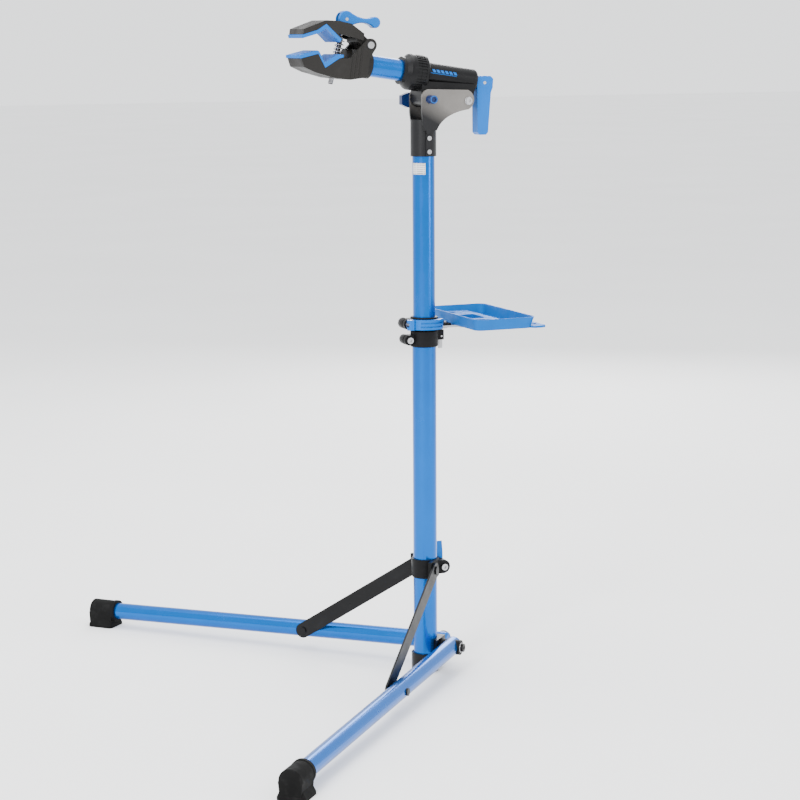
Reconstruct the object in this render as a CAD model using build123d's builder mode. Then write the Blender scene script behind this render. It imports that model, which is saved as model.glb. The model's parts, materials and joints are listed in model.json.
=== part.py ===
from build123d import *
import os
from math import asin, atan2, cos, degrees, hypot, pi, radians, sin, sqrt

# Folding bicycle repair stand, in millimetres.
# Origin: centre of the upright's foot pad, on the floor. +Z runs up the upright.
# The clamp and the two legs reach towards -X, the tool tray hangs on the +X side.

# ---------------------------------------------------------------- driving dimensions
FIT = 0.05              # radial running clearance of pins, bolts and tubes

LOWER_R = 19.0          # lower upright tube, outer radius
LOWER_TOP = 554.0
UPPER_R = 17.5          # telescoping upper tube, outer radius
UPPER_WALL = 1.4
UPPER_BOTTOM = 262.0
UPPER_TOP = 884.0
PAD_HEIGHT = 3.0        # rubber pad under the upright

LEG_R = 14.0
LEG_WALL = 1.4
LEG_LENGTH = 635.0      # from the fold pivot to the middle of the foot
LEG_SPREAD = 46.5       # angle of each leg from the -X direction, degrees
LEG_FOLD = 71.0         # how far a leg swings up, degrees
PIVOT_BACK = 36.0       # fold pivot, behind the upright's axis
PIVOT_SIDE = 22.0       # and to each side of it
PIVOT_Z = 40.0
FOOT_AXIS_Z = 27.0      # leg axis height at the foot
LEG_BOLT_R = 4.0

BRACE_ATTACH = 242.0    # along the leg, from the fold pivot
BRACE_WIDTH = 25.0
BRACE_THICK = 3.0
BRACE_TOP_S = 20.0      # upper pivot, ahead of the upright's axis along the leg
BRACE_TOP_Z = 172.0
BRACE_FACE = 23.2       # inner face of the brace, from the upright's axis
RIVET_R = 3.0

SLIDER_BOTTOM = 156.0
SLIDER_TOP = 187.0
SLIDER_R = 22.3
SLIDER_PAD_FACE = 22.2

COLLAR_BOTTOM = 531.0
COLLAR_TOP = 557.0
COLLAR_R = 22.0

RING_BOTTOM = 557.4     # tray clamp ring
RING_TOP = 578.4
TRAY_X = (46.0, 150.0)  # tray rim
TRAY_HALF_Y = 100.0
TRAY_BOTTOM = 562.9
TRAY_RIM = 581.0
TRAY_WALL = 2.4

SLEEVE_BOTTOM = 831.0   # head bracket
SLEEVE_TOP = 888.0
SLEEVE_R = 20.3
CHEEK_IN = 21.7
CHEEK_OUT = 25.7
AXLE_Z = 919.5          # tilt axle, on the upright's axis
AXLE_R = 4.0
STOP_X = 66.0           # stop bolt behind the axle
STOP_Z = 916.0
STOP_R = 3.0

ARM_TILT = 8.4          # clamp arm, degrees above level
ARM_Z = 958.2           # arm axis where it crosses the upright's axis
ARM_R = 16.5
BARREL_R = 19.0
INDEX_R = 28.0          # toothed index rings
INDEX_TEETH = 36

JAW_HALF = 31.0         # half the width of the jaws
HINGE_U, HINGE_V = 105.4, 29.7
CAM_U, CAM_V = 140.5, 64.2
CAM_R = 12.8
ROD_R = 3.75
ROD_LEAN = 6.1          # clamp rod, degrees off square to the arm

# ---------------------------------------------------------------- derived geometry
LOWER_IN = UPPER_R + 0.08
SPREAD = radians(LEG_SPREAD)
LEG_SLOPE = asin((PIVOT_Z - FOOT_AXIS_Z) / LEG_LENGTH)
LEG_OFFSET = PIVOT_BACK * sin(SPREAD) + PIVOT_SIDE * cos(SPREAD)
PIVOT_S = -PIVOT_BACK * cos(SPREAD) + PIVOT_SIDE * sin(SPREAD)
BRACKET_FACE = LEG_OFFSET - LEG_R - 2.0
ATTACH_S = PIVOT_S + BRACE_ATTACH * cos(LEG_SLOPE)
ATTACH_Z = PIVOT_Z - BRACE_ATTACH * sin(LEG_SLOPE)
BRACE_LENGTH = hypot(ATTACH_S - BRACE_TOP_S, BRACE_TOP_Z - ATTACH_Z)

TILT = radians(ARM_TILT)
ARM_DIR = Vector(-cos(TILT), 0, sin(TILT))
ARM_UP = Vector(sin(TILT), 0, cos(TILT))
ARM_ORIGIN = Vector(0, 0, ARM_Z)
ARM_SIDE = Plane(origin=ARM_ORIGIN, x_dir=ARM_DIR, z_dir=(0, 1, 0))
ARM_AXIS = Axis(ARM_ORIGIN, ARM_DIR)

SIDES = {"near": -1, "far": 1}
CENTRE_MIN = (Align.CENTER, Align.CENTER, Align.MIN)


def save(piece, name):
    """Label a finished piece and write its STEP file."""
    piece.part.label = name
    export_step(piece.part, f"parts/{name}.step")


def arm_point(u, v, y=0.0):
    """A point given along the arm, across it, and sideways."""
    return ARM_ORIGIN + ARM_DIR * u + ARM_UP * v + Vector(0, y, 0)


def leg_vectors(side):
    """The level direction of a leg and the outward normal of its fold plane."""
    along = Vector(-cos(SPREAD), side * sin(SPREAD), 0)
    normal = Vector(sin(SPREAD), side * cos(SPREAD), 0)
    return along, normal


def leg_point(side, s, n, z):
    """A point given along the leg, outwards from the upright's axis, and up."""
    along, normal = leg_vectors(side)
    return along * s + normal * n + Vector(0, 0, z)


def tube(plane, outer, inner, length):
    """A straight round tube standing on a plane, in the open part."""
    with BuildSketch(plane) as section:
        Circle(outer)
        Circle(inner, mode=Mode.SUBTRACT)
    extrude(section.sketch, amount=length)


def rod(plane, radius, length, mode=Mode.ADD):
    """A round bar standing on a plane, in the open part."""
    with BuildSketch(plane) as section:
        Circle(radius)
    extrude(section.sketch, amount=length, mode=mode)


def slab(plane, points, depth, mode=Mode.ADD, both=True):
    """A straight-sided outline extruded off its plane, in the open part."""
    with BuildSketch(plane) as section:
        Polygon(*points, align=None)
    extrude(section.sketch, amount=depth, both=both, mode=mode)


def block(low, high, mode=Mode.ADD):
    """A box between two corners, in the open part."""
    with BuildSketch(Plane.XY.offset(low[2])) as section:
        with Locations(((low[0] + high[0]) / 2, (low[1] + high[1]) / 2)):
            Rectangle(abs(high[0] - low[0]), abs(high[1] - low[1]))
    extrude(section.sketch, amount=high[2] - low[2], mode=mode)


def knurl(plane, radius, height, count, depth=0.7):
    """Grooves round a knob that stands on a plane, cut from the open part."""
    with BuildSketch(plane) as grooves:
        with PolarLocations(radius + depth * 0.2, count):
            Circle(depth)
    extrude(grooves.sketch, amount=height, mode=Mode.SUBTRACT)


def y_plane(x, y, z, direction=1):
    """A plane across the Y axis, facing along it."""
    return Plane(origin=(x, y, z), x_dir=(1, 0, 0), z_dir=(0, direction, 0))


os.makedirs("parts", exist_ok=True)

# ---------------------------------------------------------------- upright and base
with BuildPart() as lower_tube:
    tube(Plane.XY.offset(PAD_HEIGHT), LOWER_R, LOWER_IN, LOWER_TOP - PAD_HEIGHT)
save(lower_tube, "lower_tube")

with BuildPart() as base_pad:
    rod(Plane.XY, LOWER_R + 2, PAD_HEIGHT)
    chamfer(base_pad.faces().sort_by(Axis.Z)[0].edges(), 0.8)
save(base_pad, "base_pad")

EAR_LENGTH = 17.0
with BuildPart() as base_bracket:
    rod(Plane.XY.offset(PAD_HEIGHT), LOWER_R + 3.5, 28)
    chamfer(base_bracket.faces().sort_by(Axis.Z)[0].edges(), 1.4)
    apex = (BRACKET_FACE / sin(SPREAD), 0)
    ears = [leg_point(side, EAR_LENGTH, BRACKET_FACE, 0) for side in (-1, 1)]
    with BuildSketch(Plane.XY.offset(PIVOT_Z - 15)):
        Polygon(apex, (ears[0].X, ears[0].Y), (ears[1].X, ears[1].Y), align=None)
    extrude(amount=30)
    rod(Plane.XY, LOWER_R + FIT, 80, mode=Mode.SUBTRACT)
    for side in (-1, 1):
        along, normal = leg_vectors(side)
        bolt_seat = leg_point(side, PIVOT_S, 0, PIVOT_Z)
        rod(Plane(origin=bolt_seat, z_dir=normal), LEG_BOLT_R, 40, mode=Mode.SUBTRACT)
save(base_bracket, "base_bracket")

HEAD_FACE = LEG_OFFSET + LEG_R + 2.4
with BuildPart() as leg_bolts:
    for side in (-1, 1):
        along, normal = leg_vectors(side)
        root = leg_point(side, PIVOT_S, LOWER_R + 0.1, PIVOT_Z)
        rod(Plane(origin=root, z_dir=normal), LEG_BOLT_R - FIT, HEAD_FACE - LOWER_R + 1)
        head = leg_point(side, PIVOT_S, HEAD_FACE, PIVOT_Z)
        rod(Plane(origin=head, z_dir=normal), 6.6, 5.4)
        socket = leg_point(side, PIVOT_S, HEAD_FACE + 2.2, PIVOT_Z)
        with BuildSketch(Plane(origin=socket, z_dir=normal)):
            RegularPolygon(3.4, 6)
        extrude(amount=5, mode=Mode.SUBTRACT)
save(leg_bolts, "leg_bolts")

with BuildPart() as guide_bush:
    tube(Plane.XY.offset(LOWER_TOP), LOWER_R - FIT, LOWER_IN, COLLAR_TOP - LOWER_TOP - 0.1)
save(guide_bush, "guide_bush")

# ---------------------------------------------------------------- legs, feet and braces
for name, side in SIDES.items():
    along, normal = leg_vectors(side)
    pivot = leg_point(side, PIVOT_S, LEG_OFFSET, PIVOT_Z)
    leg_dir = along * cos(LEG_SLOPE) - Vector(0, 0, sin(LEG_SLOPE))
    leg_plane = Plane(origin=pivot, x_dir=normal, z_dir=leg_dir)
    pivot_bore = Plane(origin=leg_point(side, PIVOT_S, 0, PIVOT_Z), z_dir=normal)
    attach = leg_point(side, ATTACH_S, 0, ATTACH_Z)
    rivet_bore = Plane(origin=attach, z_dir=normal)

    with BuildPart() as leg_tube:
        tube(leg_plane.offset(-10), LEG_R, LEG_R - LEG_WALL, LEG_LENGTH + 18)
        rod(pivot_bore, LEG_BOLT_R, 80, mode=Mode.SUBTRACT)
        rod(rivet_bore, RIVET_R + FIT, 80, mode=Mode.SUBTRACT)
    save(leg_tube, f"{name}_leg_tube")

    with BuildPart() as leg_plug:
        rod(leg_plane.offset(-14.5), LEG_R, 4.5)
        fillet(leg_plug.faces().sort_by(Axis(pivot, leg_dir))[0].edges(), 4.2)
        rod(leg_plane.offset(-10), LEG_R - LEG_WALL - FIT, 4)
    save(leg_plug, f"{name}_leg_plug")

    with BuildPart() as leg_saddle:
        rod(pivot_bore.offset(BRACKET_FACE + 0.1), 12, 8)
        rod(pivot_bore.offset(HEAD_FACE - 9.1), 12, 9)
        rod(leg_plane.offset(-30), LEG_R + 0.02, 60, mode=Mode.SUBTRACT)
        rod(pivot_bore, LEG_BOLT_R, 80, mode=Mode.SUBTRACT)
    save(leg_saddle, f"{name}_leg_saddle")

    foot_origin = leg_point(side, PIVOT_S + LEG_LENGTH * cos(LEG_SLOPE), LEG_OFFSET, 0)
    across = Vector(0, 0, 1).cross(along)
    foot_back = foot_origin - along * 20
    with BuildPart() as leg_foot:
        with BuildSketch(Plane(origin=foot_origin + along, x_dir=along, z_dir=(0, 0, 1))):
            RectangleRounded(47, 43, 7)
        extrude(amount=4)
        extrude(leg_foot.faces().sort_by(Axis.Z)[-1], amount=10, taper=26)
        with BuildSketch(Plane(origin=foot_back, x_dir=across, z_dir=along)):
            with BuildLine():
                Polyline((-18, FOOT_AXIS_Z), (-15.5, 4), (15.5, 4), (18, FOOT_AXIS_Z))
                RadiusArc((18, FOOT_AXIS_Z), (-18, FOOT_AXIS_Z), -18)
            make_face()
        extrude(amount=43)
        fillet(leg_foot.edges().filter_by(GeomType.CIRCLE).group_by(Axis(foot_back, along))[-1], 2.5)
        rod(leg_plane.offset(LEG_LENGTH - 25), 18.6, 6)
        rod(leg_plane.offset(LEG_LENGTH - 40), LEG_R + 0.02, 48.2, mode=Mode.SUBTRACT)
    save(leg_foot, f"{name}_leg_foot")

    with BuildPart() as brace_rivet_low:
        rod(rivet_bore.offset(LEG_OFFSET + LEG_R - 1.6), 6, 3.8)
        rod(leg_plane.offset(BRACE_ATTACH - 12), LEG_R + 0.02, 24, mode=Mode.SUBTRACT)
        rod(rivet_bore.offset(BRACE_FACE - 2.3), 6, 2.2)
        rod(rivet_bore.offset(BRACE_FACE - 0.1), RIVET_R, LEG_OFFSET + LEG_R + 1 - BRACE_FACE)
        rod(rivet_bore.offset(BRACE_FACE + BRACE_THICK + 0.1), 5.5, 0.8)
    save(brace_rivet_low, f"{name}_brace_rivet_low")

    top = leg_point(side, BRACE_TOP_S, 0, BRACE_TOP_Z)
    middle = (attach + top) * 0.5 + normal * BRACE_FACE
    with BuildPart() as brace:
        with BuildSketch(Plane(origin=middle, x_dir=top - attach, z_dir=normal)):
            SlotCenterToCenter(BRACE_LENGTH, BRACE_WIDTH)
            with Locations((-BRACE_LENGTH / 2, 0), (BRACE_LENGTH / 2, 0)):
                Circle(RIVET_R + FIT, mode=Mode.SUBTRACT)
        extrude(amount=BRACE_THICK)
    save(brace, f"{name}_brace")

    with BuildPart() as brace_rivet_top:
        rivet_line = Plane(origin=top, z_dir=normal)
        rod(rivet_line.offset(BRACE_FACE - 0.9), 6.5, 0.85)
        rod(rivet_line.offset(BRACE_FACE - 0.05), RIVET_R, BRACE_THICK + 0.1)
        rod(rivet_line.offset(BRACE_FACE + BRACE_THICK + 0.05), 6.5, 2.2)
    save(brace_rivet_top, f"{name}_brace_rivet_top")

# ---------------------------------------------------------------- slider collar and its lever
SLIDER_BOLT = (29.0, 171.0)
with BuildPart() as slider_collar:
    rod(Plane.XY.offset(SLIDER_BOTTOM), SLIDER_R, SLIDER_TOP - SLIDER_BOTTOM)
    chamfer(slider_collar.faces().sort_by(Axis.Z)[0].edges(), 2.4)
    for side in (-1, 1):
        corners = [leg_point(side, s, n, 0) for s, n in ((0, 15), (0, SLIDER_PAD_FACE),
                                                         (33, SLIDER_PAD_FACE), (33, 17))]
        with BuildSketch(Plane.XY.offset(SLIDER_BOTTOM + 4)):
            Polygon(*[(c.X, c.Y) for c in corners], align=None)
        extrude(amount=SLIDER_TOP - SLIDER_BOTTOM - 4)
    block((17, -9, 160), (29, 9, 182))
    rod(y_plane(SLIDER_BOLT[0], -9, SLIDER_BOLT[1]), 11, 18)
    rod(Plane.XY.offset(SLIDER_BOTTOM - 1), LOWER_R + 0.08, 40, mode=Mode.SUBTRACT)
    block((15, -1.2, SLIDER_BOTTOM - 1), (45, 1.2, SLIDER_TOP + 1), mode=Mode.SUBTRACT)
    rod(y_plane(SLIDER_BOLT[0], -20, SLIDER_BOLT[1]), 3, 40, mode=Mode.SUBTRACT)
save(slider_collar, "slider_collar")

HUB_R = 6.5
HUB_Y = 17.2
with BuildPart() as slider_bolt:
    rod(y_plane(SLIDER_BOLT[0], -14, SLIDER_BOLT[1]), 5.2, 4.9)
    rod(y_plane(SLIDER_BOLT[0], -9.2, SLIDER_BOLT[1]), 3 - FIT, 9.2 + HUB_Y)
    rod(y_plane(SLIDER_BOLT[0], 9.1, SLIDER_BOLT[1]), 6.5, 1.2)
    rod(Plane(origin=(SLIDER_BOLT[0] - 8, HUB_Y, SLIDER_BOLT[1]), z_dir=(1, 0, 0)), 1.6, 16)
    with BuildSketch(y_plane(SLIDER_BOLT[0], -14, SLIDER_BOLT[1])):
        RegularPolygon(2.8, 6)
    extrude(amount=2.6, mode=Mode.SUBTRACT)
save(slider_bolt, "slider_bolt")

with BuildPart() as slider_lever:
    hub_plane = Plane(origin=(SLIDER_BOLT[0] - 8, HUB_Y, SLIDER_BOLT[1]), x_dir=(0, 1, 0), z_dir=(1, 0, 0))
    with BuildSketch(hub_plane):
        Circle(HUB_R)
        Polygon((-4, 0), (4, 0), (5.5, 18), (4, 36), (0, 37), (-3.5, 20), align=None)
    extrude(amount=16)
    fillet(slider_lever.edges().filter_by(Axis.X).sort_by(Axis.Z)[-2:], 1.2)
    rod(hub_plane, 1.6 + FIT, 16, mode=Mode.SUBTRACT)
    block((SLIDER_BOLT[0] - 3.3, HUB_Y - 8, SLIDER_BOLT[1] - 8),
          (SLIDER_BOLT[0] + 3.3, HUB_Y + 8, SLIDER_BOLT[1] + 4), mode=Mode.SUBTRACT)
save(slider_lever, "slider_lever")

# ---------------------------------------------------------------- height collar
COLLAR_BOLT = (-28.6, 542.5)
LATCH_PIN = (27.5, 546.0)
with BuildPart() as height_collar:
    rod(Plane.XY.offset(COLLAR_BOTTOM), COLLAR_R, COLLAR_TOP - COLLAR_BOTTOM)
    chamfer(height_collar.edges().filter_by(GeomType.CIRCLE), 1.2)
    block((COLLAR_BOLT[0], -8.5, COLLAR_BOLT[1] - 8), (-16, 8.5, COLLAR_BOLT[1] + 8))
    rod(y_plane(COLLAR_BOLT[0], -8.5, COLLAR_BOLT[1]), 8, 17)
    block((17, -6, 540.5), (31.5, 6, 556))
    rod(Plane.XY.offset(COLLAR_BOTTOM - 1), LOWER_R + FIT, 40, mode=Mode.SUBTRACT)
    block((-45, -1.2, COLLAR_BOTTOM - 1), (-15, 1.2, COLLAR_TOP + 1), mode=Mode.SUBTRACT)
    rod(y_plane(COLLAR_BOLT[0], -20, COLLAR_BOLT[1]), 3, 40, mode=Mode.SUBTRACT)
    block((23, -3.4, 539), (33, 3.4, 551), mode=Mode.SUBTRACT)
    rod(y_plane(LATCH_PIN[0], -7, LATCH_PIN[1]), 1.5, 14, mode=Mode.SUBTRACT)
save(height_collar, "height_collar")

with BuildPart() as height_bolt:
    rod(y_plane(COLLAR_BOLT[0], -13, COLLAR_BOLT[1]), 5, 4.4)
    rod(y_plane(COLLAR_BOLT[0], -8.7, COLLAR_BOLT[1]), 3 - FIT, 25)
    with BuildSketch(y_plane(COLLAR_BOLT[0], -13, COLLAR_BOLT[1])):
        RegularPolygon(2.7, 6)
    extrude(amount=2.4, mode=Mode.SUBTRACT)
    rod(y_plane(LATCH_PIN[0], -6.6, LATCH_PIN[1]), 1.5 - FIT, 13.2)
save(height_bolt, "height_bolt")

with BuildPart() as height_nut:
    rod(y_plane(COLLAR_BOLT[0], 8.6, COLLAR_BOLT[1]), 7.6, 8)
    knurl(y_plane(COLLAR_BOLT[0], 8, COLLAR_BOLT[1]), 7.6, 10, 18)
    rod(y_plane(COLLAR_BOLT[0], 8, COLLAR_BOLT[1]), 3, 12, mode=Mode.SUBTRACT)
save(height_nut, "height_nut")

with BuildPart() as height_lever:
    rod(y_plane(LATCH_PIN[0], -3, LATCH_PIN[1]), 3.4, 6)
    block((LATCH_PIN[0] - 2.6, -3, 526), (LATCH_PIN[0] + 2.6, 3, LATCH_PIN[1]))
    fillet(height_lever.edges().filter_by(Axis.X).sort_by(Axis.Z)[:2], 2.5)
    rod(y_plane(LATCH_PIN[0], -4, LATCH_PIN[1]), 1.5, 8, mode=Mode.SUBTRACT)
save(height_lever, "height_lever")

# ---------------------------------------------------------------- telescoping mast
with BuildPart() as glide_plug:
    rod(Plane.XY.offset(UPPER_BOTTOM - 9), UPPER_R, 9)
    rod(Plane.XY.offset(UPPER_BOTTOM), UPPER_R - UPPER_WALL - FIT, 20)
save(glide_plug, "glide_plug")

with BuildPart() as upper_tube:
    tube(Plane.XY.offset(UPPER_BOTTOM + 0.1), UPPER_R, UPPER_R - UPPER_WALL, UPPER_TOP - UPPER_BOTTOM)
save(upper_tube, "upper_tube")

# Head bracket: two pressed shells, each half a sleeve with a cheek above it.
SCREW_Z = (838.5, 859.5)
for name, side in SIDES.items():
    with BuildPart() as head_shell:
        rod(Plane.XY.offset(SLEEVE_BOTTOM), SLEEVE_R, SLEEVE_TOP - SLEEVE_BOTTOM)
        block((-5, side * 19, SLEEVE_BOTTOM + 1), (5, side * 22.4, 880))
        with BuildSketch(Plane(origin=(0, side * 15, AXLE_Z), x_dir=(1, 0, 0), z_dir=(0, side, 0))):
            Polygon((-10, side * 31), (-5, side * 53), (5, side * 53), (13, side * 42), (20, side * 31),
                    align=None)
        extrude(amount=CHEEK_OUT - 15)
        with BuildSketch(Plane(origin=(0, side * CHEEK_IN, AXLE_Z), x_dir=(1, 0, 0), z_dir=(0, -1, 0))):
            with BuildLine():
                top_edge = Line((-2, 15.5), (65, 13.5))
                nose = ThreePointArc((65, 13.5), (75.5, -1), (66, -16.5))
                belly = Spline((66, -16.5), (40, -23), (22, -34), (12, -48))
                Polyline((12, -48), (-9.5, -48), (-13, -22), (-13, 3))
                ThreePointArc((-13, 3), (-9.5, 12), (-2, 15.5))
            make_face()
        extrude(amount=-side * (CHEEK_OUT - CHEEK_IN))
        rod(Plane.XY.offset(SLEEVE_BOTTOM - 1), UPPER_R + FIT, UPPER_TOP + 0.3 - SLEEVE_BOTTOM + 1,
            mode=Mode.SUBTRACT)
        block((-60, -side * 60, 800), (100, side * 0.15, 1000), mode=Mode.SUBTRACT)
        rod(y_plane(0, side * 10, AXLE_Z, side), AXLE_R, 20, mode=Mode.SUBTRACT)
        rod(y_plane(STOP_X, side * 10, STOP_Z, side), STOP_R, 20, mode=Mode.SUBTRACT)
        for z in SCREW_Z:
            rod(y_plane(0, side * 17, z, side), 2.5, 10, mode=Mode.SUBTRACT)
    save(head_shell, f"{name}_head_shell")

with BuildPart() as head_screws:
    for side in (-1, 1):
        for z in SCREW_Z:
            rod(y_plane(0, side * (UPPER_R + 0.3), z, side), 2.5 - FIT, 6)
            rod(y_plane(0, side * 22.5, z, side), 3.5, 2.0)
            with BuildSketch(y_plane(0, side * 23.6, z, side)):
                RegularPolygon(1.8, 6)
            extrude(amount=3, mode=Mode.SUBTRACT)
save(head_screws, "head_screws")

with BuildPart() as tilt_axle:
    rod(y_plane(0, -40, AXLE_Z), AXLE_R - FIT, 77)
save(tilt_axle, "tilt_axle")

with BuildPart() as tilt_nut:
    rod(y_plane(0, -CHEEK_OUT - 0.1, AXLE_Z, -1), 6.5, 17)
    chamfer(tilt_nut.faces().sort_by(Axis.Y)[0].edges(), 0.8)
    rod(y_plane(0, -20, AXLE_Z, -1), AXLE_R, 20, mode=Mode.SUBTRACT)
    with BuildSketch(y_plane(0, -41, AXLE_Z, -1)):
        RegularPolygon(3.6, 6)
    extrude(amount=4, mode=Mode.SUBTRACT)
save(tilt_nut, "tilt_nut")

with BuildPart() as tilt_lever:
    lever_plane = Plane(origin=(0, CHEEK_OUT + 0.3, AXLE_Z), x_dir=(1, 0, 0), z_dir=(0, -1, 0))
    with BuildSketch(lever_plane):
        Circle(12)
        Polygon((-25, 5), (-25, -9), (-14, -14), (0, -12), (0, 12), (-14, 9), align=None)
    extrude(amount=-11)
    with BuildSketch(lever_plane.offset(-3)):
        Polygon((0, 10), (74, -4), (78, -10), (74, -17), (0, -11), align=None)
    extrude(amount=-8)
    fillet(tilt_lever.edges().filter_by(Axis.Y).sort_by(Axis.X)[-3:], 3)
    rod(y_plane(0, 20, AXLE_Z), AXLE_R, 30, mode=Mode.SUBTRACT)
save(tilt_lever, "tilt_lever")

with BuildPart() as stop_bolt:
    rod(y_plane(STOP_X, -CHEEK_OUT - 0.1, STOP_Z), STOP_R - FIT, 2 * CHEEK_OUT + 0.2)
    for side in (-1, 1):
        rod(y_plane(STOP_X, side * (CHEEK_OUT + 0.1), STOP_Z, side), 5.4, 3)
        with BuildSketch(y_plane(STOP_X, side * (CHEEK_OUT + 1.5), STOP_Z, side)):
            RegularPolygon(2.7, 6)
        extrude(amount=3, mode=Mode.SUBTRACT)
save(stop_bolt, "stop_bolt")

# ---------------------------------------------------------------- tool tray and its clamp
SKEWER = (-29.4, 568.0)
CAM_Y = -16.8
with BuildPart() as tray_liner:
    tube(Plane.XY.offset(RING_BOTTOM + 0.1), 19.0, UPPER_R + 0.08, RING_TOP - RING_BOTTOM - 0.2)
save(tray_liner, "tray_liner")

with BuildPart() as tray_ring:
    rod(Plane.XY.offset(RING_BOTTOM), COLLAR_R, RING_TOP - RING_BOTTOM)
    chamfer(tray_ring.edges().filter_by(GeomType.CIRCLE), 1)
    block((SKEWER[0], -8.5, SKEWER[1] - 8.5), (-16, 8.5, SKEWER[1] + 8.5))
    rod(y_plane(SKEWER[0], -8.5, SKEWER[1]), 8.5, 17)
    block((16, -10, TRAY_BOTTOM + 0.1), (42, 10, TRAY_BOTTOM + 4))
    rod(Plane.XY.offset(RING_BOTTOM - 1), 19.0 + FIT, 40, mode=Mode.SUBTRACT)
    block((-45, -1.2, RING_BOTTOM - 1), (-15, 1.2, RING_TOP + 1), mode=Mode.SUBTRACT)
    rod(y_plane(SKEWER[0], -20, SKEWER[1]), 3, 40, mode=Mode.SUBTRACT)
    rod(Plane(origin=(36, 0, 550)), 2.5, 30, mode=Mode.SUBTRACT)
save(tray_ring, "tray_ring")

with BuildPart() as tray_skewer:
    rod(y_plane(SKEWER[0], CAM_Y, SKEWER[1]), 3 - FIT, 36)
    rod(y_plane(SKEWER[0], -9.9, SKEWER[1]), 6.5, 1.2)
    rod(Plane(origin=(SKEWER[0], CAM_Y, SKEWER[1] - 8)), 1.6, 16)
save(tray_skewer, "tray_skewer")

with BuildPart() as tray_nut:
    rod(y_plane(SKEWER[0], 8.7, SKEWER[1]), 8.4, 9)
    knurl(y_plane(SKEWER[0], 8, SKEWER[1]), 8.4, 11, 20)
    rod(y_plane(SKEWER[0], 8, SKEWER[1]), 3, 12, mode=Mode.SUBTRACT)
save(tray_nut, "tray_nut")

LEVER_IN, LEVER_OUT = 26.5, 31.5
with BuildPart() as tray_lever:
    hub_plane = Plane(origin=(SKEWER[0], CAM_Y, SKEWER[1] - 8))
    rod(hub_plane, HUB_R, 16)
    with BuildSketch(hub_plane):
        with Locations((-SKEWER[0], -CAM_Y)):
            Circle(LEVER_OUT)
            Circle(LEVER_IN, mode=Mode.SUBTRACT)
        reach = 90.0
        keep = [(-SKEWER[0] + reach * cos(radians(a)), -CAM_Y + reach * sin(radians(a)))
                for a in (208, 240, 285, 322)]
        Polygon((-SKEWER[0], -CAM_Y), *keep, align=None, mode=Mode.INTERSECT)
    extrude(amount=16)
    fillet(tray_lever.edges().filter_by(Axis.Z).sort_by(Axis.X)[-2:], 1.8)
    for z in (-4.2, 1.7):
        with BuildSketch(Plane.XY.offset(SKEWER[1] + z)):
            Circle(LEVER_OUT + 1)
            Circle(LEVER_OUT - 1.6, mode=Mode.SUBTRACT)
            groove = [(60 * cos(radians(a)), 60 * sin(radians(a))) for a in (238, 275, 312)]
            Polygon((0, 0), *groove, align=None, mode=Mode.INTERSECT)
        extrude(amount=2.4, mode=Mode.SUBTRACT)
    rod(hub_plane, 1.6 + FIT, 16, mode=Mode.SUBTRACT)
    block((SKEWER[0] - 8, CAM_Y - 4, SKEWER[1] - 3.3), (SKEWER[0] + 3.3, CAM_Y + 8, SKEWER[1] + 3.3),
          mode=Mode.SUBTRACT)
    block((SKEWER[0] + 3, CAM_Y + 3.6, SKEWER[1] - 3.3), (SKEWER[0] + 8, CAM_Y + 8, SKEWER[1] + 3.3),
          mode=Mode.SUBTRACT)
save(tray_lever, "tray_lever")

TRAY_BOLT_X = (66.0, 92.0)
with BuildPart() as tray_arm:
    with BuildSketch(Plane.XY.offset(TRAY_BOTTOM - 3.4)):
        with BuildLine():
            Polyline((27, -9), (50, -9), (110, -16), (110, 16), (50, 9), (27, 9), (27, -9))
        make_face()
    extrude(amount=3.3)
    for x in (36.0,) + TRAY_BOLT_X:
        rod(Plane(origin=(x, 0, 550)), 2.5, 30, mode=Mode.SUBTRACT)
save(tray_arm, "tray_arm")

with BuildPart() as tray_bolts:
    for x, top_z in ((36.0, TRAY_BOTTOM + 4.1), (TRAY_BOLT_X[0], TRAY_BOTTOM + 2.5),
                     (TRAY_BOLT_X[1], TRAY_BOTTOM + 2.5)):
        rod(Plane(origin=(x, 0, TRAY_BOTTOM - 4.6)), 2.5 - FIT, top_z - TRAY_BOTTOM + 4.7)
        rod(Plane(origin=(x, 0, top_z)), 4.4, 2.2)
        with BuildSketch(Plane(origin=(x, 0, TRAY_BOTTOM - 5.1))):
            RegularPolygon(4.4, 6)
        extrude(amount=1.6)
save(tray_bolts, "tray_bolts")

TRAY_MID = (TRAY_X[0] + TRAY_X[1]) / 2
TRAY_LEN = TRAY_X[1] - TRAY_X[0]
DECK_Z = 573.0
TROUGH_X = 112.0
with BuildPart() as tray:
    rim_plane = Plane(origin=(TRAY_MID, 0, TRAY_RIM))
    foot_plane = Plane(origin=(TRAY_MID, 0, TRAY_BOTTOM))
    with BuildSketch(foot_plane):
        RectangleRounded(TRAY_LEN - 8, 2 * TRAY_HALF_Y - 16, 12)
    with BuildSketch(rim_plane):
        RectangleRounded(TRAY_LEN, 2 * TRAY_HALF_Y, 14)
    loft()
    with BuildSketch(foot_plane.offset(TRAY_WALL)):
        RectangleRounded(TRAY_LEN - 12, 2 * TRAY_HALF_Y - 21, 10)
    with BuildSketch(rim_plane.offset(0.1)):
        RectangleRounded(TRAY_LEN - 2 * TRAY_WALL, 2 * (TRAY_HALF_Y - TRAY_WALL), 12)
    loft(mode=Mode.SUBTRACT)
    # tool flange along the outer long side
    with BuildSketch(Plane.XY.offset(TRAY_BOTTOM)):
        with Locations((TRAY_X[1] + 6, 0)):
            RectangleRounded(28, 2 * TRAY_HALF_Y - 8, 10)
        with GridLocations(0, 2 * TRAY_HALF_Y / 6, 1, 5):
            with Locations((TRAY_X[1] + 10.5, 0)):
                Circle(5, mode=Mode.SUBTRACT)
    extrude(amount=3)
    for x in TRAY_BOLT_X:
        rod(Plane(origin=(x, 0, 550)), 2.5, 30, mode=Mode.SUBTRACT)
save(tray, "tray")

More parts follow.
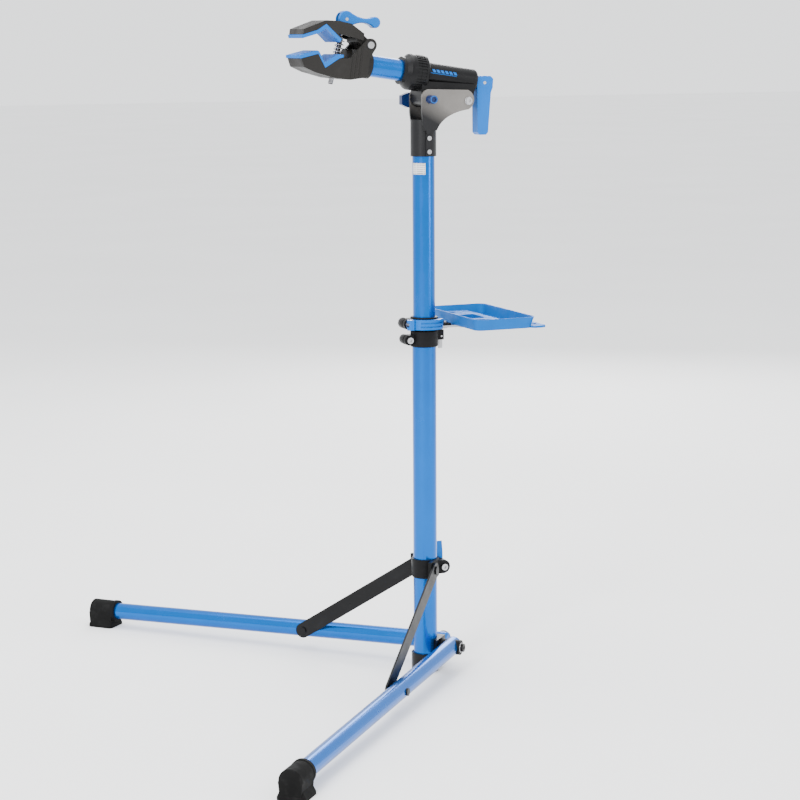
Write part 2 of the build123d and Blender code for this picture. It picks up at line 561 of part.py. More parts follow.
# Raised deck with a round well, a square well and a bit slot; the outer trough stays deep.
DECK_X = (TRAY_X[0] + 6.5, TROUGH_X)
with BuildPart() as tray_insert:
    with BuildSketch(Plane.XY.offset(TRAY_BOTTOM + TRAY_WALL + 0.1)):
        with Locations(((DECK_X[0] + DECK_X[1]) / 2, 0)):
            RectangleRounded(DECK_X[1] - DECK_X[0], 2 * TRAY_HALF_Y - 23, 9)
        with Locations((TRAY_MID - 22, -50)):
            Circle(21, mode=Mode.SUBTRACT)
        with Locations((TRAY_MID - 20, 8)):
            RectangleRounded(44, 50, 6, mode=Mode.SUBTRACT)
        with Locations((TRAY_MID - 30, 66)):
            SlotOverall(34, 9, mode=Mode.SUBTRACT)
    extrude(amount=DECK_Z - TRAY_BOTTOM - TRAY_WALL - 0.1)
save(tray_insert, "tray_insert")

# ---------------------------------------------------------------- clamp arm
BARREL_END = -88.0
ARM_TAIL = -60.0
RING_SPLIT = 13.0


def arm_turning(points, mode=Mode.ADD):
    """A solid of revolution about the arm, from (along, radius) points."""
    with BuildSketch(ARM_SIDE) as section:
        Polygon(*points, align=None)
    revolve(section.sketch, axis=ARM_AXIS, mode=mode)


def rim_teeth(start, length):
    """Rectangular notches round an index ring, cut from the open part."""
    face = Plane(origin=ARM_ORIGIN + ARM_DIR * start, x_dir=(0, 1, 0), z_dir=ARM_DIR)
    with BuildSketch(face) as notches:
        with PolarLocations(INDEX_R, INDEX_TEETH):
            Rectangle(2.0, 2.5)
    extrude(notches.sketch, amount=length, mode=Mode.SUBTRACT)


with BuildPart() as arm_housing:
    arm_turning([(BARREL_END, 0), (BARREL_END, BARREL_R - 4), (BARREL_END + 1.4, BARREL_R - 1.4),
                 (BARREL_END + 4, BARREL_R), (-3, BARREL_R), (-1, INDEX_R - 2), (1, INDEX_R),
                 (RING_SPLIT, INDEX_R), (RING_SPLIT, 0)])
    rim_teeth(5, RING_SPLIT)
    with BuildSketch(y_plane(0, 0, AXLE_Z, -1)):
        with BuildLine():
            Polyline((13, 0), (30, 1.5), (76, 0.1), (79, 22), (-10, 28), (-13, 0))
            ThreePointArc((-13, 0), (0, -13), (13, 0))
        make_face()
    extrude(amount=CHEEK_IN - 0.4, both=True)
    arm_turning([(ARM_TAIL - 2, 0), (ARM_TAIL - 2, ARM_R + 0.08), (40, ARM_R + 0.08), (40, 0)],
                mode=Mode.SUBTRACT)
    arm_turning([(BARREL_END - 5, 0), (BARREL_END - 5, 4.1), (0, 4.1), (0, 0)], mode=Mode.SUBTRACT)
    rod(y_plane(0, -30, AXLE_Z), AXLE_R + 0.03, 60, mode=Mode.SUBTRACT)
save(arm_housing, "arm_housing")

with BuildPart() as arm_flange:
    arm_turning([(RING_SPLIT + 0.3, ARM_R + FIT), (RING_SPLIT + 0.3, INDEX_R), (26, INDEX_R),
                 (29, INDEX_R - 1), (35, 21.5), (40, 21.5), (40, ARM_R + FIT)])
    rim_teeth(0, 20)
save(arm_flange, "arm_flange")

SOCKET_BOTTOM = 131.0
with BuildPart() as arm_tube:
    arm_turning([(ARM_TAIL, 4.08), (ARM_TAIL, ARM_R), (SOCKET_BOTTOM, ARM_R), (SOCKET_BOTTOM, ARM_R - 1.5),
                 (ARM_TAIL + 4, ARM_R - 1.5), (ARM_TAIL + 4, 4.08)])
save(arm_tube, "arm_tube")

REAR_PIN_U = -102.5
with BuildPart() as draw_rod:
    arm_turning([(REAR_PIN_U - 4, 0), (REAR_PIN_U - 4, 4), (ARM_TAIL + 4.2, 4), (ARM_TAIL + 4.2, 12),
                 (ARM_TAIL + 9, 12), (ARM_TAIL + 9, 0)])
    rear_pin_spot = arm_point(REAR_PIN_U, 0)
    rod(y_plane(rear_pin_spot.X, -12, rear_pin_spot.Z), 2.5 + FIT, 24, mode=Mode.SUBTRACT)
save(draw_rod, "draw_rod")

with BuildPart() as rear_pin:
    rod(y_plane(rear_pin_spot.X, -9.9, rear_pin_spot.Z), 2.5, 19.8)
save(rear_pin, "rear_pin")

REAR_HANDLE = 81.0
with BuildPart() as rear_lever:
    rear_side = Plane(origin=rear_pin_spot, x_dir=(1, 0, 0), z_dir=(0, -1, 0))
    with BuildSketch(rear_side):
        with BuildLine():
            Polyline((-13.2, 2), (-13, -13), (-12.5, -REAR_HANDLE + 4), (-9, -REAR_HANDLE), (2, -REAR_HANDLE),
                     (5.5, -REAR_HANDLE + 4), (10.5, -15), (13.5, -8), (14.5, 6))
            Line((14.5, 6), (10, 10.5))
            Line((10, 10.5), (-8, 10.5))
            ThreePointArc((-8, 10.5), (-11.8, 7), (-13.2, 2))
        make_face()
    extrude(amount=10, both=True)
    block((rear_pin_spot.X - 30, -4.3, rear_pin_spot.Z - 6.5),
          (rear_pin_spot.X + 30, 4.3, rear_pin_spot.Z + 20), mode=Mode.SUBTRACT)
    rod(y_plane(rear_pin_spot.X, -12, rear_pin_spot.Z), 2.5 + FIT, 24, mode=Mode.SUBTRACT)
save(rear_lever, "rear_lever")

# ---------------------------------------------------------------- jaws
ROD_DIR = ARM_UP * cos(radians(ROD_LEAN)) - ARM_DIR * sin(radians(ROD_LEAN))
CAM_POINT = arm_point(CAM_U, CAM_V)
ROD_PLANE = Plane(origin=CAM_POINT - ROD_DIR * 101, x_dir=(0, 1, 0), z_dir=ROD_DIR)
LUG_IN = 24.0
SEAT_LOW = [(214, -5.5), (188, 5), (174, -14.5), (153, 3), (140, 5)]
SEAT_HIGH = [(216, 30.5), (194, 40.5), (181, 51.5), (154, 32.2)]
PAD_THICK = 5.0

with BuildPart() as lower_jaw:
    slab(ARM_SIDE, SEAT_LOW + [(136, 5.4), (122, 23), (113, 20), (104, 12), (104, -19), (111, -21),
                               (131, -26.5), (156, -27.2), (189, -23), (208, -17.5)], JAW_HALF)
    arm_turning([(92, 0), (92, 20), (104, 20.4), (136, 20.4), (136, 0)])
    with BuildSketch(ARM_SIDE):
        with Locations((HINGE_U, HINGE_V)):
            Circle(10)
        Polygon((96, 26), (104, 10), (122, 10), (122, 23), (114, 35), align=None)
    extrude(amount=JAW_HALF, both=True)
    # room between the two hinge lugs for the upper jaw's knuckle
    slab(ARM_SIDE, [(90, 20.4), (124, 20.4), (124, 60), (90, 60)], LUG_IN, mode=Mode.SUBTRACT)
    for u in (118.0, 124.5, 131.0):
        for side in (-1, 1):
            rod(Plane(origin=arm_point(u, -40, side * (JAW_HALF + 0.6)), z_dir=ARM_UP), 1.7, 80,
                mode=Mode.SUBTRACT)
    arm_turning([(80, 0), (80, ARM_R + FIT), (SOCKET_BOTTOM + 0.1, ARM_R + FIT),
                 (SOCKET_BOTTOM + 0.1, 0)], mode=Mode.SUBTRACT)
    rod(ROD_PLANE, 7, 160, mode=Mode.SUBTRACT)
    rod(y_plane(arm_point(HINGE_U, HINGE_V).X, -40, arm_point(HINGE_U, HINGE_V).Z), 3.5, 80,
        mode=Mode.SUBTRACT)
save(lower_jaw, "lower_jaw")

with BuildPart() as rod_nut:
    with BuildSketch(ROD_PLANE.offset(10)):
        Circle(7 - FIT)
        Circle(ROD_R + FIT, mode=Mode.SUBTRACT)
    extrude(amount=26)
save(rod_nut, "rod_nut")

with BuildPart() as upper_jaw:
    wide_half = JAW_HALF
    slab(ARM_SIDE, SEAT_HIGH + [(159, 40), (118, 35), (118, 45.5), (141, 57.2), (160, 58.5), (182, 56.5),
                                (200, 47), (216, 38.5)], wide_half)
    slab(ARM_SIDE, [(100, 33), (110, 24), (124, 32), (124, 48.5), (109, 39)], LUG_IN - 0.4)
    with BuildSketch(ARM_SIDE):
        with Locations((HINGE_U, HINGE_V)):
            Circle(9)
    extrude(amount=LUG_IN - 0.4, both=True)
    # hollow underside, cam recess on top and the slot that the rod passes through
    slab(ARM_SIDE, [(124, 20), (124, 40.5), (138, 46.5), (158, 46.5), (158, 20)], JAW_HALF - 5,
         mode=Mode.SUBTRACT)
    slab(ARM_SIDE, [(126, 51), (156, 51), (156, 70), (126, 70)], 9.4, mode=Mode.SUBTRACT)
    slab(ARM_SIDE, [(132, 40), (149, 40), (149, 60), (132, 60)], 4.6, mode=Mode.SUBTRACT)
    rod(y_plane(arm_point(HINGE_U, HINGE_V).X, -40, arm_point(HINGE_U, HINGE_V).Z), 3.5, 80,
        mode=Mode.SUBTRACT)
save(upper_jaw, "upper_jaw")

with BuildPart() as jaw_pin:
    hinge_spot = arm_point(HINGE_U, HINGE_V)
    rod(y_plane(hinge_spot.X, -JAW_HALF - 1, hinge_spot.Z), 3.5 - FIT, 2 * JAW_HALF + 2)
    for side in (-1, 1):
        rod(y_plane(hinge_spot.X, side * (JAW_HALF + 0.1), hinge_spot.Z, side), 5.2, 1.8)
save(jaw_pin, "jaw_pin")

with BuildPart() as lower_pad:
    slab(ARM_SIDE, [(216.5, -5.4), (217, -1), (190, 10), (187, 9), (176, -6.5), (156, 9), (147, 9),
                    (147, 5.3), (153, 3.3), (174, -14.1), (188, 5.3), (214, -5.2)], JAW_HALF)
    rod(ROD_PLANE, 7.6, 160, mode=Mode.SUBTRACT)
save(lower_pad, "lower_pad")

with BuildPart() as upper_pad:
    slab(ARM_SIDE, [(218, 29.3), (194, 40.1), (181, 51.1), (153.5, 31.8), (156, 27), (180.5, 44.5),
                    (191.5, 35.5), (216, 24.6)], JAW_HALF)
save(upper_pad, "upper_pad")

with BuildPart() as clamp_rod:
    rod(ROD_PLANE, ROD_R, 97)
    fillet(clamp_rod.edges().sort_by(Axis.Z)[0], 1.5)
    with BuildSketch(Plane(origin=CAM_POINT, x_dir=ARM_DIR, z_dir=(0, 1, 0))):
        Circle(6)
    extrude(amount=4, both=True)
    rod(y_plane(CAM_POINT.X, -10, CAM_POINT.Z), 2.5 + FIT, 20, mode=Mode.SUBTRACT)
save(clamp_rod, "clamp_rod")

with BuildPart() as cam_pin:
    rod(y_plane(CAM_POINT.X, -9, CAM_POINT.Z), 2.5, 18)
save(cam_pin, "cam_pin")

with BuildPart() as clamp_spring:
    tube(ROD_PLANE.offset(43), 7.3, 5.9, 32.5)
save(clamp_spring, "clamp_spring")

with BuildPart() as cam_lever:
    with BuildSketch(ARM_SIDE):
        with Locations((CAM_U, CAM_V)):
            Circle(CAM_R)
        with BuildLine():
            Spline((CAM_U - 4, CAM_V + 12), (121, 70.6), (106, 70.2), (96, 74))
            ThreePointArc((96, 74), (84.5, 67), (95, 57.6))
            Spline((95, 57.6), (106, 62.5), (121, 60.5), (CAM_U - 4, CAM_V - 12))
            Line((CAM_U - 4, CAM_V - 12), (CAM_U - 4, CAM_V + 12))
        make_face()
    extrude(amount=8.5, both=True)
    fillet(cam_lever.faces().filter_by(Axis.Y).edges(), 2.4)
    slab(ARM_SIDE, [(CAM_U - 7, CAM_V - 20), (CAM_U + 20, CAM_V - 20), (CAM_U + 20, CAM_V + 8),
                    (CAM_U - 7, CAM_V + 8)], 4.3, mode=Mode.SUBTRACT)
    rod(y_plane(CAM_POINT.X, -12, CAM_POINT.Z), 2.5 + FIT, 24, mode=Mode.SUBTRACT)
save(cam_lever, "cam_lever")
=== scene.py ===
import math
import bpy
import bmesh
from mathutils import Matrix, Vector
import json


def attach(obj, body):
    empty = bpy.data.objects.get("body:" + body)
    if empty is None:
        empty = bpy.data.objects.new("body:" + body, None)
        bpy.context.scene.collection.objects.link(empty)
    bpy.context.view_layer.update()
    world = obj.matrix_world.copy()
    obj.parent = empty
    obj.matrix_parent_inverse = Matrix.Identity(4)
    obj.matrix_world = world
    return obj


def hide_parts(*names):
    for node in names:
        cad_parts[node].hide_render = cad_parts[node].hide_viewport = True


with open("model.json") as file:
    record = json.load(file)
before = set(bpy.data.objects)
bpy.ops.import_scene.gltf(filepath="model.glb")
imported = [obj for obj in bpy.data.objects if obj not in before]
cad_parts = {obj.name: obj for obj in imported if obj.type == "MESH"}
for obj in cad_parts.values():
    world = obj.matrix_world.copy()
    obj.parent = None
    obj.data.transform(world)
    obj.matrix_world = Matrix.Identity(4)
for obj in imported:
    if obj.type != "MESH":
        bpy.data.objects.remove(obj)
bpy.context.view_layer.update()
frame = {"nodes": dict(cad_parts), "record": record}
nodes = frame["nodes"]

# ---------------------------------------------------------------- the clamp arm's frame
TILT = math.radians(8.4)
ARM_DIR = Vector((-math.cos(TILT), 0, math.sin(TILT)))
ARM_UP = Vector((math.sin(TILT), 0, math.cos(TILT)))
ARM_ORIGIN = Vector((0, 0, 0.9582))


def arm_point(u, v, y=0.0):
    """A point given in millimetres along the arm, across it and sideways."""
    return ARM_ORIGIN + (ARM_DIR * u + ARM_UP * v + Vector((0, y, 0))) / 1000


# ---------------------------------------------------------------- materials
class Nodes:
    """A material's node tree, with short names for what is used most."""

    def __init__(self, name):
        self.mat = bpy.data.materials.new(name)
        self.mat.use_nodes = True
        self.tree = self.mat.node_tree
        self.shader = self.tree.nodes["Principled BSDF"]
        self.coords = self.add("ShaderNodeTexCoord").outputs["Object"]

    def add(self, kind, **values):
        node = self.tree.nodes.new(kind)
        for key, value in values.items():
            setattr(node, key, value)
        return node

    def link(self, output, socket):
        self.tree.links.new(output, socket)

    def put(self, name, value):
        self.shader.inputs[name].default_value = value

    def noise(self, scale, detail=4.0, stretch=None, rough=0.55):
        texture = self.add("ShaderNodeTexNoise")
        texture.inputs["Scale"].default_value = scale
        texture.inputs["Detail"].default_value = detail
        texture.inputs["Roughness"].default_value = rough
        if stretch:
            mapping = self.add("ShaderNodeMapping")
            mapping.inputs["Scale"].default_value = stretch
            self.link(self.coords, mapping.inputs["Vector"])
            self.link(mapping.outputs["Vector"], texture.inputs["Vector"])
        else:
            self.link(self.coords, texture.inputs["Vector"])
        return texture.outputs["Fac"]

    def spread(self, source, low, high, start=0.3, end=0.7):
        """source mapped from start..end to low..high."""
        ranger = self.add("ShaderNodeMapRange")
        ranger.inputs["From Min"].default_value = start
        ranger.inputs["From Max"].default_value = end
        ranger.inputs["To Min"].default_value = low
        ranger.inputs["To Max"].default_value = high
        self.link(source, ranger.inputs["Value"])
        return ranger.outputs["Result"]

    def mix(self, factor, first, second):
        """A colour between two colours."""
        mixer = self.add("ShaderNodeMix", data_type="RGBA")
        self.link(factor, mixer.inputs["Factor"])
        for socket, value in ((mixer.inputs["A"], first), (mixer.inputs["B"], second)):
            if isinstance(value, tuple):
                socket.default_value = value + (1.0,)
            else:
                self.link(value, socket)
        return mixer.outputs["Result"]

    def bump(self, source, strength, distance):
        node = self.add("ShaderNodeBump")
        node.inputs["Strength"].default_value = strength
        node.inputs["Distance"].default_value = distance
        self.link(source, node.inputs["Height"])
        self.link(node.outputs["Normal"], self.shader.inputs["Normal"])


DUST_TONE = (0.2, 0.2, 0.2)


def shade(colour, factor):
    """A colour made lighter or darker."""
    return tuple(min(1.0, c * factor) for c in colour)


def finish_material(name, colour, rough, metal=0.0, coat=0.0, sheen=0.5, grain=900.0,
                    depth=0.00006, vary=0.12, dust=0.0, stretch=None):
    """A worked surface: fine grain, slow tone changes, patchy gloss and a little dust."""
    m = Nodes(name)
    slow = m.spread(m.noise(14.0, 5.0), 0.0, 1.0)
    tone = m.mix(slow, shade(colour, 1.0 - vary), shade(colour, 1.0 + vary))
    fine = m.noise(grain, 3.0, stretch)
    tone = m.mix(m.spread(fine, 0.0, 0.35, 0.45, 0.75), tone, shade(colour, 0.8))
    if dust:
        settled = m.spread(m.noise(55.0, 8.0, None, 0.7), 0.0, dust, 0.52, 0.8)
        tone = m.mix(settled, tone, DUST_TONE)
    m.link(tone, m.shader.inputs["Base Color"])
    m.link(m.spread(m.noise(38.0, 6.0), rough * 0.8, rough * 1.25), m.shader.inputs["Roughness"])
    m.put("Metallic", metal)
    m.put("Coat Weight", coat)
    m.put("Coat Roughness", 0.06)
    m.put("Specular IOR Level", sheen)
    m.bump(fine, 0.35, depth)
    return m.mat


BLUE = (0.0, 0.10, 0.40)
BRIGHT = (0.0, 0.115, 0.43)
materials = {
    "blue_paint": finish_material("blue_paint", BLUE, 0.22, 0.75, 0.05, 0.2, 500, 0.00002, 0.06, 0.0),
    "blue_plastic": finish_material("blue_plastic", BRIGHT, 0.38, 0.4, 0.03, 0.15, 1500, 0.00003,
                                    0.08, 0.03),
    "blue_pad": finish_material("blue_pad", BRIGHT, 0.55, 0.15, 0, 0.12, 1100, 0.0001, 0.1, 0.04),
    "tray_plastic": finish_material("tray_plastic", (0.0, 0.105, 0.38), 0.55, 0.3, 0, 0.08, 1900,
                                    0.00008, 0.08, 0.05),
    "navy_plastic": finish_material("navy_plastic", (0.0, 0.012, 0.075), 0.35, 0, 0.1, 0.3, 1500,
                                    0.00003, 0.1, 0.02),
    "black_paint": finish_material("black_paint", (0.0045, 0.0045, 0.005), 0.34, 0, 0.05, 0.12, 700,
                                   0.00005, 0.2, 0.02),
    "black_plastic": finish_material("black_plastic", (0.005, 0.005, 0.0055), 0.46, 0, 0, 0.1, 1300,
                                     0.0001, 0.2, 0.02),
    "grey_plastic": finish_material("grey_plastic", (0.014, 0.013, 0.012), 0.48, 0, 0, 0.14, 1200,
                                    0.00012, 0.15, 0.03),
    "rubber": finish_material("rubber", (0.005, 0.005, 0.005), 0.7, 0, 0, 0.07, 700, 0.00016, 0.25,
                              0.05),
    "steel": finish_material("steel", (0.42, 0.42, 0.43), 0.28, 1, 0, 0.5, 300, 0.00003, 0.1, 0,
                             (1, 9, 9)),
    "dark_steel": finish_material("dark_steel", (0.05, 0.05, 0.055), 0.34, 1, 0, 0.5, 600, 0.00003),
    "bright_steel": finish_material("bright_steel", (0.5, 0.5, 0.52), 0.18, 1, 0, 0.5, 800, 0.00001),
    "knurled": finish_material("knurled", (0.008, 0.008, 0.009), 0.42, 0, 0.03, 0.25, 1600, 0.00015),
}


# Painted reflection on the head plate: its satin black paint gets grey tones higher up, which stand
# in for the lights mirrored in it, fading into plain black paint lower down.
REFLECTION_FADE_SLOPE = 0.55       # how the painted reflection's edge leans, along X
REFLECTION_FADE_START = 0.888      # where the plain black paint ends and the painted reflection begins, in metres up the upright
REFLECTION_FADE_END = 0.922
PLATE_BLACK = (0.006, 0.006, 0.007)
PLATE_REFLECTION_DARK = (0.125, 0.118, 0.11)
PLATE_REFLECTION_LIGHT = (0.16, 0.15, 0.14)
PLATE_GRAIN = (0.03, 0.03, 0.03)


def painted_reflection_plate_material():
    """Satin black plate with a painted reflection: grey tones in its colour, fading into the black
    paint down at the sleeve.
    """
    m = Nodes("plate_with_painted_reflection")
    split = m.add("ShaderNodeSeparateXYZ")
    m.link(m.coords, split.inputs["Vector"])
    slope = m.add("ShaderNodeMath", operation="MULTIPLY_ADD")
    m.link(split.outputs["X"], slope.inputs[0])
    slope.inputs[1].default_value = REFLECTION_FADE_SLOPE
    m.link(split.outputs["Z"], slope.inputs[2])
    fade = m.spread(slope.outputs["Value"], 0.0, 1.0, REFLECTION_FADE_START, REFLECTION_FADE_END)
    # painted reflection: the grey tones mixed in over the black paint
    grey = m.mix(m.spread(m.noise(20.0, 5.0), 0, 1), PLATE_REFLECTION_DARK, PLATE_REFLECTION_LIGHT)
    tone = m.mix(fade, PLATE_BLACK, grey)
    fine = m.noise(1000.0, 3.0, (1, 6, 6))
    tone = m.mix(m.spread(fine, 0.0, 0.25, 0.45, 0.75), tone, PLATE_GRAIN)
    m.link(tone, m.shader.inputs["Base Color"])
    m.link(m.spread(m.noise(40.0, 6.0), 0.3, 0.46), m.shader.inputs["Roughness"])
    m.put("Metallic", 0.2)
    m.put("Specular IOR Level", 0.25)
    m.bump(fine, 0.3, 0.00003)
    return m.mat


materials["plate_with_painted_reflection"] = painted_reflection_plate_material()

SPECIAL = {"near_head_shell": "plate_with_painted_reflection", "far_head_shell": "plate_with_painted_reflection", "tray_nut": "knurled",
           "height_nut": "knurled", "lower_pad": "blue_pad", "upper_pad": "blue_pad",
           "height_lever": "steel"}
SLOTS = {entry["node"]: entry["material_slot"] for entry in frame["record"]["subparts"]}
SLOT_MATERIAL = {"grey_plate": "plate_with_painted_reflection", "chrome": "bright_steel"}
SOFT_EDGE = {"lower_jaw": 0.0016, "upper_jaw": 0.0016, "tray": 0.0007, "arm_housing": 0.0008,
             "near_brace": 0.0006, "far_brace": 0.0006, "near_leg_foot": 0.0012,
             "far_leg_foot": 0.0012, "rear_lever": 0.0016, "tilt_lever": 0.0016,
             "lower_pad": 0.0009, "upper_pad": 0.0009, "tray_lever": 0.001}

PLAIN_EDGE = 0.0004
SHARP_ANGLE = math.radians(32)

for name, obj in nodes.items():
    slot = SLOTS[name]
    chosen = materials[SPECIAL.get(name, SLOT_MATERIAL.get(slot, slot))]
    obj.data.materials.clear()
    obj.data.materials.append(chosen)
    bevel = obj.modifiers.new("edges", "BEVEL")
    bevel.width = SOFT_EDGE.get(name, PLAIN_EDGE)
    bevel.segments = 2
    bevel.limit_method = "ANGLE"
    bevel.angle_limit = SHARP_ANGLE
    bevel.harden_normals = True


# ---------------------------------------------------------------- pieces
def piece(name, mesh_builder, material, body, smooth=True):
    """A mesh piece in the row frame that rides a CAD body."""
    mesh = bpy.data.meshes.new(name)
    obj = bpy.data.objects.new(name, mesh)
    bpy.context.scene.collection.objects.link(obj)
    work = bmesh.new()
    mesh_builder(work)
    bmesh.ops.recalc_face_normals(work, faces=work.faces)
    work.to_mesh(mesh)
    work.free()
    if smooth:
        mesh.shade_smooth()
    mesh.materials.append(materials[material])
    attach(obj, body)
    return obj


def sweep(work, path, radius, sides=12):
    """A round bar along a path of points, with closed ends."""
    rings = []
    for i, point in enumerate(path):
        ahead = path[min(i + 1, len(path) - 1)] - path[max(i - 1, 0)]
        ahead.normalize()
        side = ahead.cross(Vector((0.31, 0.74, 0.6))).normalized()
        other = ahead.cross(side)
        rings.append([work.verts.new(point + (side * math.cos(a) + other * math.sin(a)) * radius)
                      for a in (2 * math.pi * k / sides for k in range(sides))])
    for first, second in zip(rings, rings[1:]):
        for k in range(sides):
            work.faces.new((first[k], first[(k + 1) % sides], second[(k + 1) % sides], second[k]))
    work.faces.new(rings[0])
    work.faces.new(rings[-1])


ROD_LEAN = math.radians(6.1)
ROD_DIR = ARM_UP * math.cos(ROD_LEAN) - ARM_DIR * math.sin(ROD_LEAN)
ROD_SIDE = Vector((0, 1, 0))
ROD_CROSS = ROD_DIR.cross(ROD_SIDE)
CAM_POINT = arm_point(140.5, 64.2)
COILS = 6.5
COIL_RADIUS = 0.0066
COIL_WIRE = 0.0007
COIL_STEPS = 260
SPRING_START = -0.0571  # along the clamp rod, from the cam pin
SPRING_LENGTH = 0.0322


def spring_path():
    """The coil's centre line, with closer turns at its ends."""
    path = []
    for i in range(COIL_STEPS + 1):
        t = i / COIL_STEPS
        closed = 0.5 - 0.5 * math.cos(math.pi * t)
        angle = 2 * math.pi * COILS * t
        height = SPRING_START + SPRING_LENGTH * (0.75 * t + 0.25 * closed)
        path.append(CAM_POINT + ROD_DIR * height
                    + (ROD_SIDE * math.cos(angle) + ROD_CROSS * math.sin(angle)) * COIL_RADIUS)
    return path


spring = piece("clamp_coil_spring", lambda w: sweep(w, spring_path(), COIL_WIRE),
               "bright_steel", "jaw_arm")
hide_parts("clamp_spring")


THREAD_PITCH = 0.00125
THREAD_START = -0.0995
THREAD_LENGTH = 0.012
THREAD_RADIUS = 0.0036
THREAD_WIRE = 0.00045


def thread_path(start, length, radius):
    """A helix around the clamp rod."""
    turns = length / THREAD_PITCH
    steps = int(turns * 20)
    return [CAM_POINT + ROD_DIR * (start + length * i / steps)
            + (ROD_SIDE * math.cos(2 * math.pi * turns * i / steps)
               + ROD_CROSS * math.sin(2 * math.pi * turns * i / steps)) * radius
            for i in range(steps + 1)]


piece("clamp_rod_thread",
      lambda w: sweep(w, thread_path(THREAD_START, THREAD_LENGTH, THREAD_RADIUS), THREAD_WIRE, 6),
      "bright_steel", "jaw_arm")


LABEL_RADIUS = 0.017512
LABEL_LOW = 0.803
LABEL_HIGH = 0.821
LABEL_START = 176
LABEL_END = 257
LABEL_ROW = 0.0016
LABEL_FILM = (0.62, 0.63, 0.64)
LABEL_BLOCKS = (0.2, 0.2, 0.21)


def curved_patch(work, radius, low, high, start, end, thickness=0.00008, steps=60):
    """A thin label wrapped on the upright between two azimuths, in degrees."""
    columns = []
    for i in range(steps + 1):
        a = math.radians(start + (end - start) * i / steps)
        out = Vector((math.cos(a), math.sin(a), 0))
        columns.append([work.verts.new(out * r + Vector((0, 0, z)))
                        for r, z in ((radius, low), (radius, high), (radius + thickness, high),
                                     (radius + thickness, low))])
    for a, b in zip(columns, columns[1:]):
        for k in range(4):
            work.faces.new((a[k], b[k], b[(k + 1) % 4], a[(k + 1) % 4]))
    work.faces.new(columns[0])
    work.faces.new(columns[-1])


def label_material():
    """White film with rows of grey blocks that read as print but hold no letters."""
    m = Nodes("label")
    split = m.add("ShaderNodeSeparateXYZ")
    m.link(m.coords, split.inputs["Vector"])
    rows = m.add("ShaderNodeMath", operation="PINGPONG")
    m.link(split.outputs["Z"], rows.inputs[0])
    rows.inputs[1].default_value = LABEL_ROW
    lines = m.spread(rows.outputs["Value"], 0.0, 1.0, 0.0010, 0.0011)
    words = m.spread(m.noise(420.0, 0.0, (1, 1, 0.05)), 0.0, 1.0, 0.46, 0.48)
    both = m.add("ShaderNodeMath", operation="MULTIPLY")
    m.link(lines, both.inputs[0])
    m.link(words, both.inputs[1])
    tone = m.mix(both.outputs["Value"], LABEL_FILM, LABEL_BLOCKS)
    m.link(tone, m.shader.inputs["Base Color"])
    m.link(m.spread(m.noise(60.0), 0.3, 0.45), m.shader.inputs["Roughness"])
    return m.mat


materials["label"] = label_material()
piece("mast_label",
      lambda w: curved_patch(w, LABEL_RADIUS, LABEL_LOW, LABEL_HIGH, LABEL_START, LABEL_END),
      "label", "mast")


DASH_COUNT = 6
DASH_PITCH = 7.2
DASH_LEAN = 2.4
DASH_DEPTH = 0.12
HOUSING_SKIN = 19.02    # just outside the housing's radius, in millimetres


def stripe_band(work, start, end, low, high, radius):
    """A slanted dash on the arm's housing, from u start to end, between two angles."""
    steps = 8
    grid = []
    for i in range(steps + 1):
        a = math.radians(low + (high - low) * i / steps)
        lean = DASH_LEAN * i / steps
        ring = []
        for u in (start + lean, end + lean):
            for r in (radius, radius + DASH_DEPTH):
                ring.append(work.verts.new(arm_point(u, r * math.sin(a), -r * math.cos(a))))
        grid.append([ring[0], ring[2], ring[3], ring[1]])
    for a, b in zip(grid, grid[1:]):
        for k in range(4):
            work.faces.new((a[k], b[k], b[(k + 1) % 4], a[(k + 1) % 4]))
    work.faces.new(grid[0])
    work.faces.new(grid[-1])


def all_stripes(work):
    """A row of plain dashes over one long line."""
    for k in range(DASH_COUNT):
        stripe_band(work, -50 + DASH_PITCH * k, -45.2 + DASH_PITCH * k, 13, 27, HOUSING_SKIN)
    stripe_band(work, -50, -6, 7, 9, HOUSING_SKIN)


piece("housing_stripes", all_stripes, "blue_plastic", "arm", False)


def ring(work, centre, normal, radius, wire, steps=48, sides=8):
    """A round wire ring about a point, square to its normal."""
    normal = normal.normalized()
    side = normal.cross(Vector((0.2, 0.3, 0.93))).normalized()
    other = normal.cross(side)
    loops = []
    for i in range(steps):
        a = 2 * math.pi * i / steps
        out = side * math.cos(a) + other * math.sin(a)
        loops.append([work.verts.new(centre + out * (radius + wire * math.cos(b))
                                     + normal * wire * math.sin(b))
                      for b in (2 * math.pi * k / sides for k in range(sides))])
    for i in range(steps):
        first, second = loops[i], loops[(i + 1) % steps]
        for k in range(sides):
            work.faces.new((first[k], first[(k + 1) % sides], second[(k + 1) % sides], second[k]))


def ring_piece(name, centre, normal, radius, wire, material, body):
    """A ring as a piece of its own: a washer or a raised rim."""
    piece(name, lambda w: ring(w, centre, normal, radius, wire), material, body)


SIDES = {"near": -1, "far": 1}
SPREAD = math.radians(46.5)
LEG_SEAT = (-8.82, 57.9, 40)    # along the leg, outward and up, in millimetres
TILT_NUT = Vector((0, -0.0427, 0.9195))

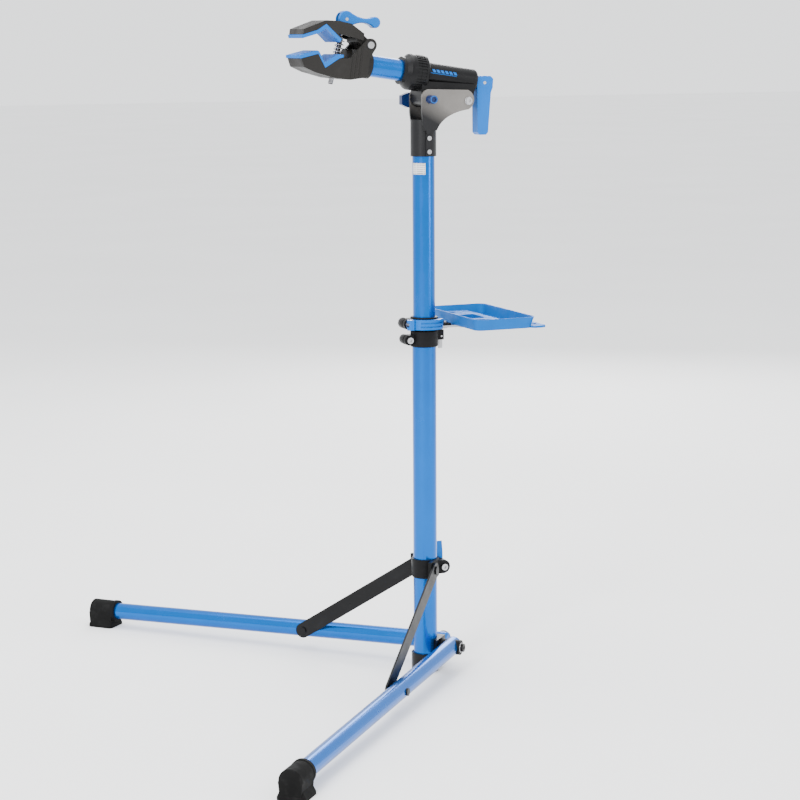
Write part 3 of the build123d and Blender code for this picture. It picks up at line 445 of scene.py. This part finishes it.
for name, side in SIDES.items():
    along = Vector((-math.cos(SPREAD), side * math.sin(SPREAD), 0))
    outward = Vector((math.sin(SPREAD), side * math.cos(SPREAD), 0))
    seat = (along * LEG_SEAT[0] + outward * LEG_SEAT[1] + Vector((0, 0, LEG_SEAT[2]))) / 1000
    ring_piece(f"leg_bolt_washer_{name}", seat, outward, 0.0071, 0.0007,
               "bright_steel", "stand")
ring_piece("tilt_nut_rim", TILT_NUT, Vector((0, -1, 0)), 0.0052, 0.00055,
           "blue_plastic", "mast")
for name, side in SIDES.items():
    ring_piece(f"stop_bolt_washer_{name}", Vector((0.066, side * 0.0262, 0.916)),
               Vector((0, side, 0)), 0.0057, 0.0005, "bright_steel", "mast")
for name, side in SIDES.items():
    ring_piece(f"jaw_pin_ring_{name}", arm_point(105.4, 29.7, side * 31.3),
               Vector((0, side, 0)), 0.0057, 0.0006, "dark_steel", "jaw_arm")


# ---------------------------------------------------------------- stage, light and camera
def stage_floor():
    bpy.ops.mesh.primitive_plane_add(size=60, location=(0, 0, -0.0002))
    floor = bpy.context.object
    floor.name = "floor"
    m = Nodes("floor")
    tone = m.mix(m.spread(m.noise(1.2, 2.0), 0, 1), (0.90, 0.90, 0.90), (0.93, 0.93, 0.93))
    m.link(tone, m.shader.inputs["Base Color"])
    m.put("Roughness", 0.85)
    m.put("Specular IOR Level", 0.1)
    floor.data.materials.append(m.mat)


stage_floor()


def area_light(name, place, target, width, height, power):
    data = bpy.data.lights.new(name, "AREA")
    data.shape = "RECTANGLE"
    data.size = width
    data.size_y = height
    data.energy = power
    lamp = bpy.data.objects.new(name, data)
    lamp.location = place
    lamp.rotation_euler = (Vector(target) - Vector(place)).to_track_quat("-Z", "Y").to_euler()
    bpy.context.scene.collection.objects.link(lamp)


area_light("key", (-2.6, -2.2, 2.4), (0, 0, 0.5), 0.9, 2.8, 135)
area_light("fill", (2.3, -2.4, 1.5), (0, 0, 0.5), 0.8, 2.4, 45)
area_light("top", (-0.2, 0.4, 3.2), (-0.1, 0, 0.4), 2.6, 2.6, 80)
area_light("rim", (1.6, 2.6, 1.8), (0, 0, 0.6), 1.2, 2.2, 60)

SKY_COLOUR = (0.97, 0.985, 1.0, 1.0)
SKY_STRENGTH = 1.9

world = bpy.data.worlds.new("studio")
world.use_nodes = True
background = world.node_tree.nodes["Background"]
background.inputs["Color"].default_value = SKY_COLOUR
background.inputs["Strength"].default_value = SKY_STRENGTH
bpy.context.scene.world = world

LENS = 99.0
SENSOR = 36.0
CAMERA_PLACE = (-1.3785, -3.1703, 1.018)
CAMERA_YAW = -22.855
CAMERA_TILT = 80.579
CAMERA_ROLL = -0.351

camera_data = bpy.data.cameras.new("camera")
camera_data.lens = LENS
camera_data.sensor_width = SENSOR
camera_data.clip_end = 100.0
camera = bpy.data.objects.new("camera", camera_data)
camera.location = CAMERA_PLACE
yaw = Matrix.Rotation(math.radians(CAMERA_YAW), 4, "Z")
tilt = Matrix.Rotation(math.radians(CAMERA_TILT), 4, "X")
roll = Matrix.Rotation(math.radians(CAMERA_ROLL), 4, "Z")
camera.rotation_euler = (yaw @ tilt @ roll).to_euler()
bpy.context.scene.collection.objects.link(camera)
bpy.context.scene.camera = camera
